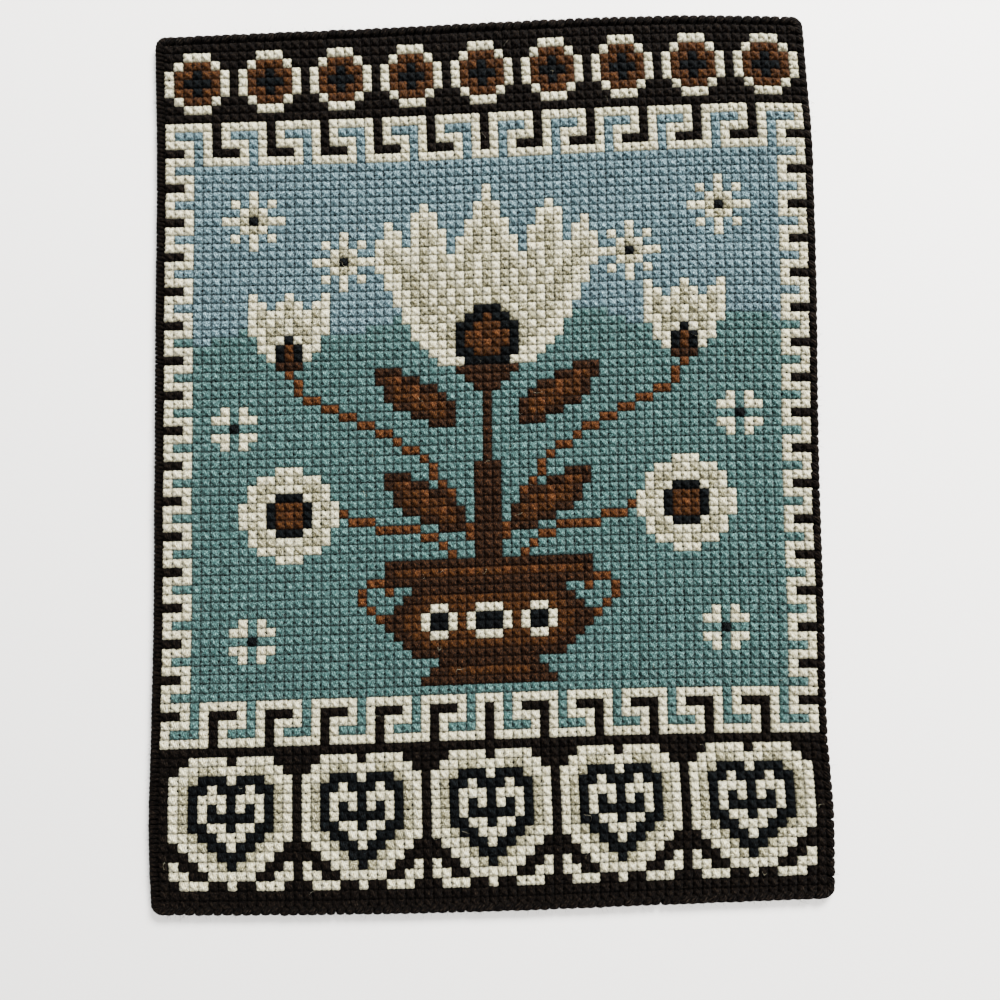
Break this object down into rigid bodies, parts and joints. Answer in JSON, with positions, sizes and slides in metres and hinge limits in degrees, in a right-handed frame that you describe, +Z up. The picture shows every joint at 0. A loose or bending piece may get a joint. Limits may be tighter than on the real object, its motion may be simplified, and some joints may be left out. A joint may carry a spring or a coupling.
{
  "type": "cross-stitch wall hanging",
  "caption": "Flat rectangular hanging of thick wool cross stitch on canvas with a whipped wool edge, lying face up, to be hung from its top edge.",
  "frame": {"origin": "under the middle of the piece, on the surface that it lies on", "axes": "+X to the picture's right, +Y to the picture's top, +Z up out of the stitched face"},
  "size_m": [0.443, 0.5828, 0.0064],
  "materials": {
    "stitched_wool": "thick soft wool in crossed stitches, teal, sky blue, cream, pale grey, rust and near-black",
    "edging_wool": "near-black brown wool, whipped over the fold",
    "canvas": "plain open cotton canvas under the wool"
  },
  "bodies": {
    "root": {"stitched_panel": "stitched_wool", "edging_top": "edging_wool", "edging_right": "edging_wool", "edging_bottom": "edging_wool", "edging_left": "edging_wool"}
  },
  "joints": []
}
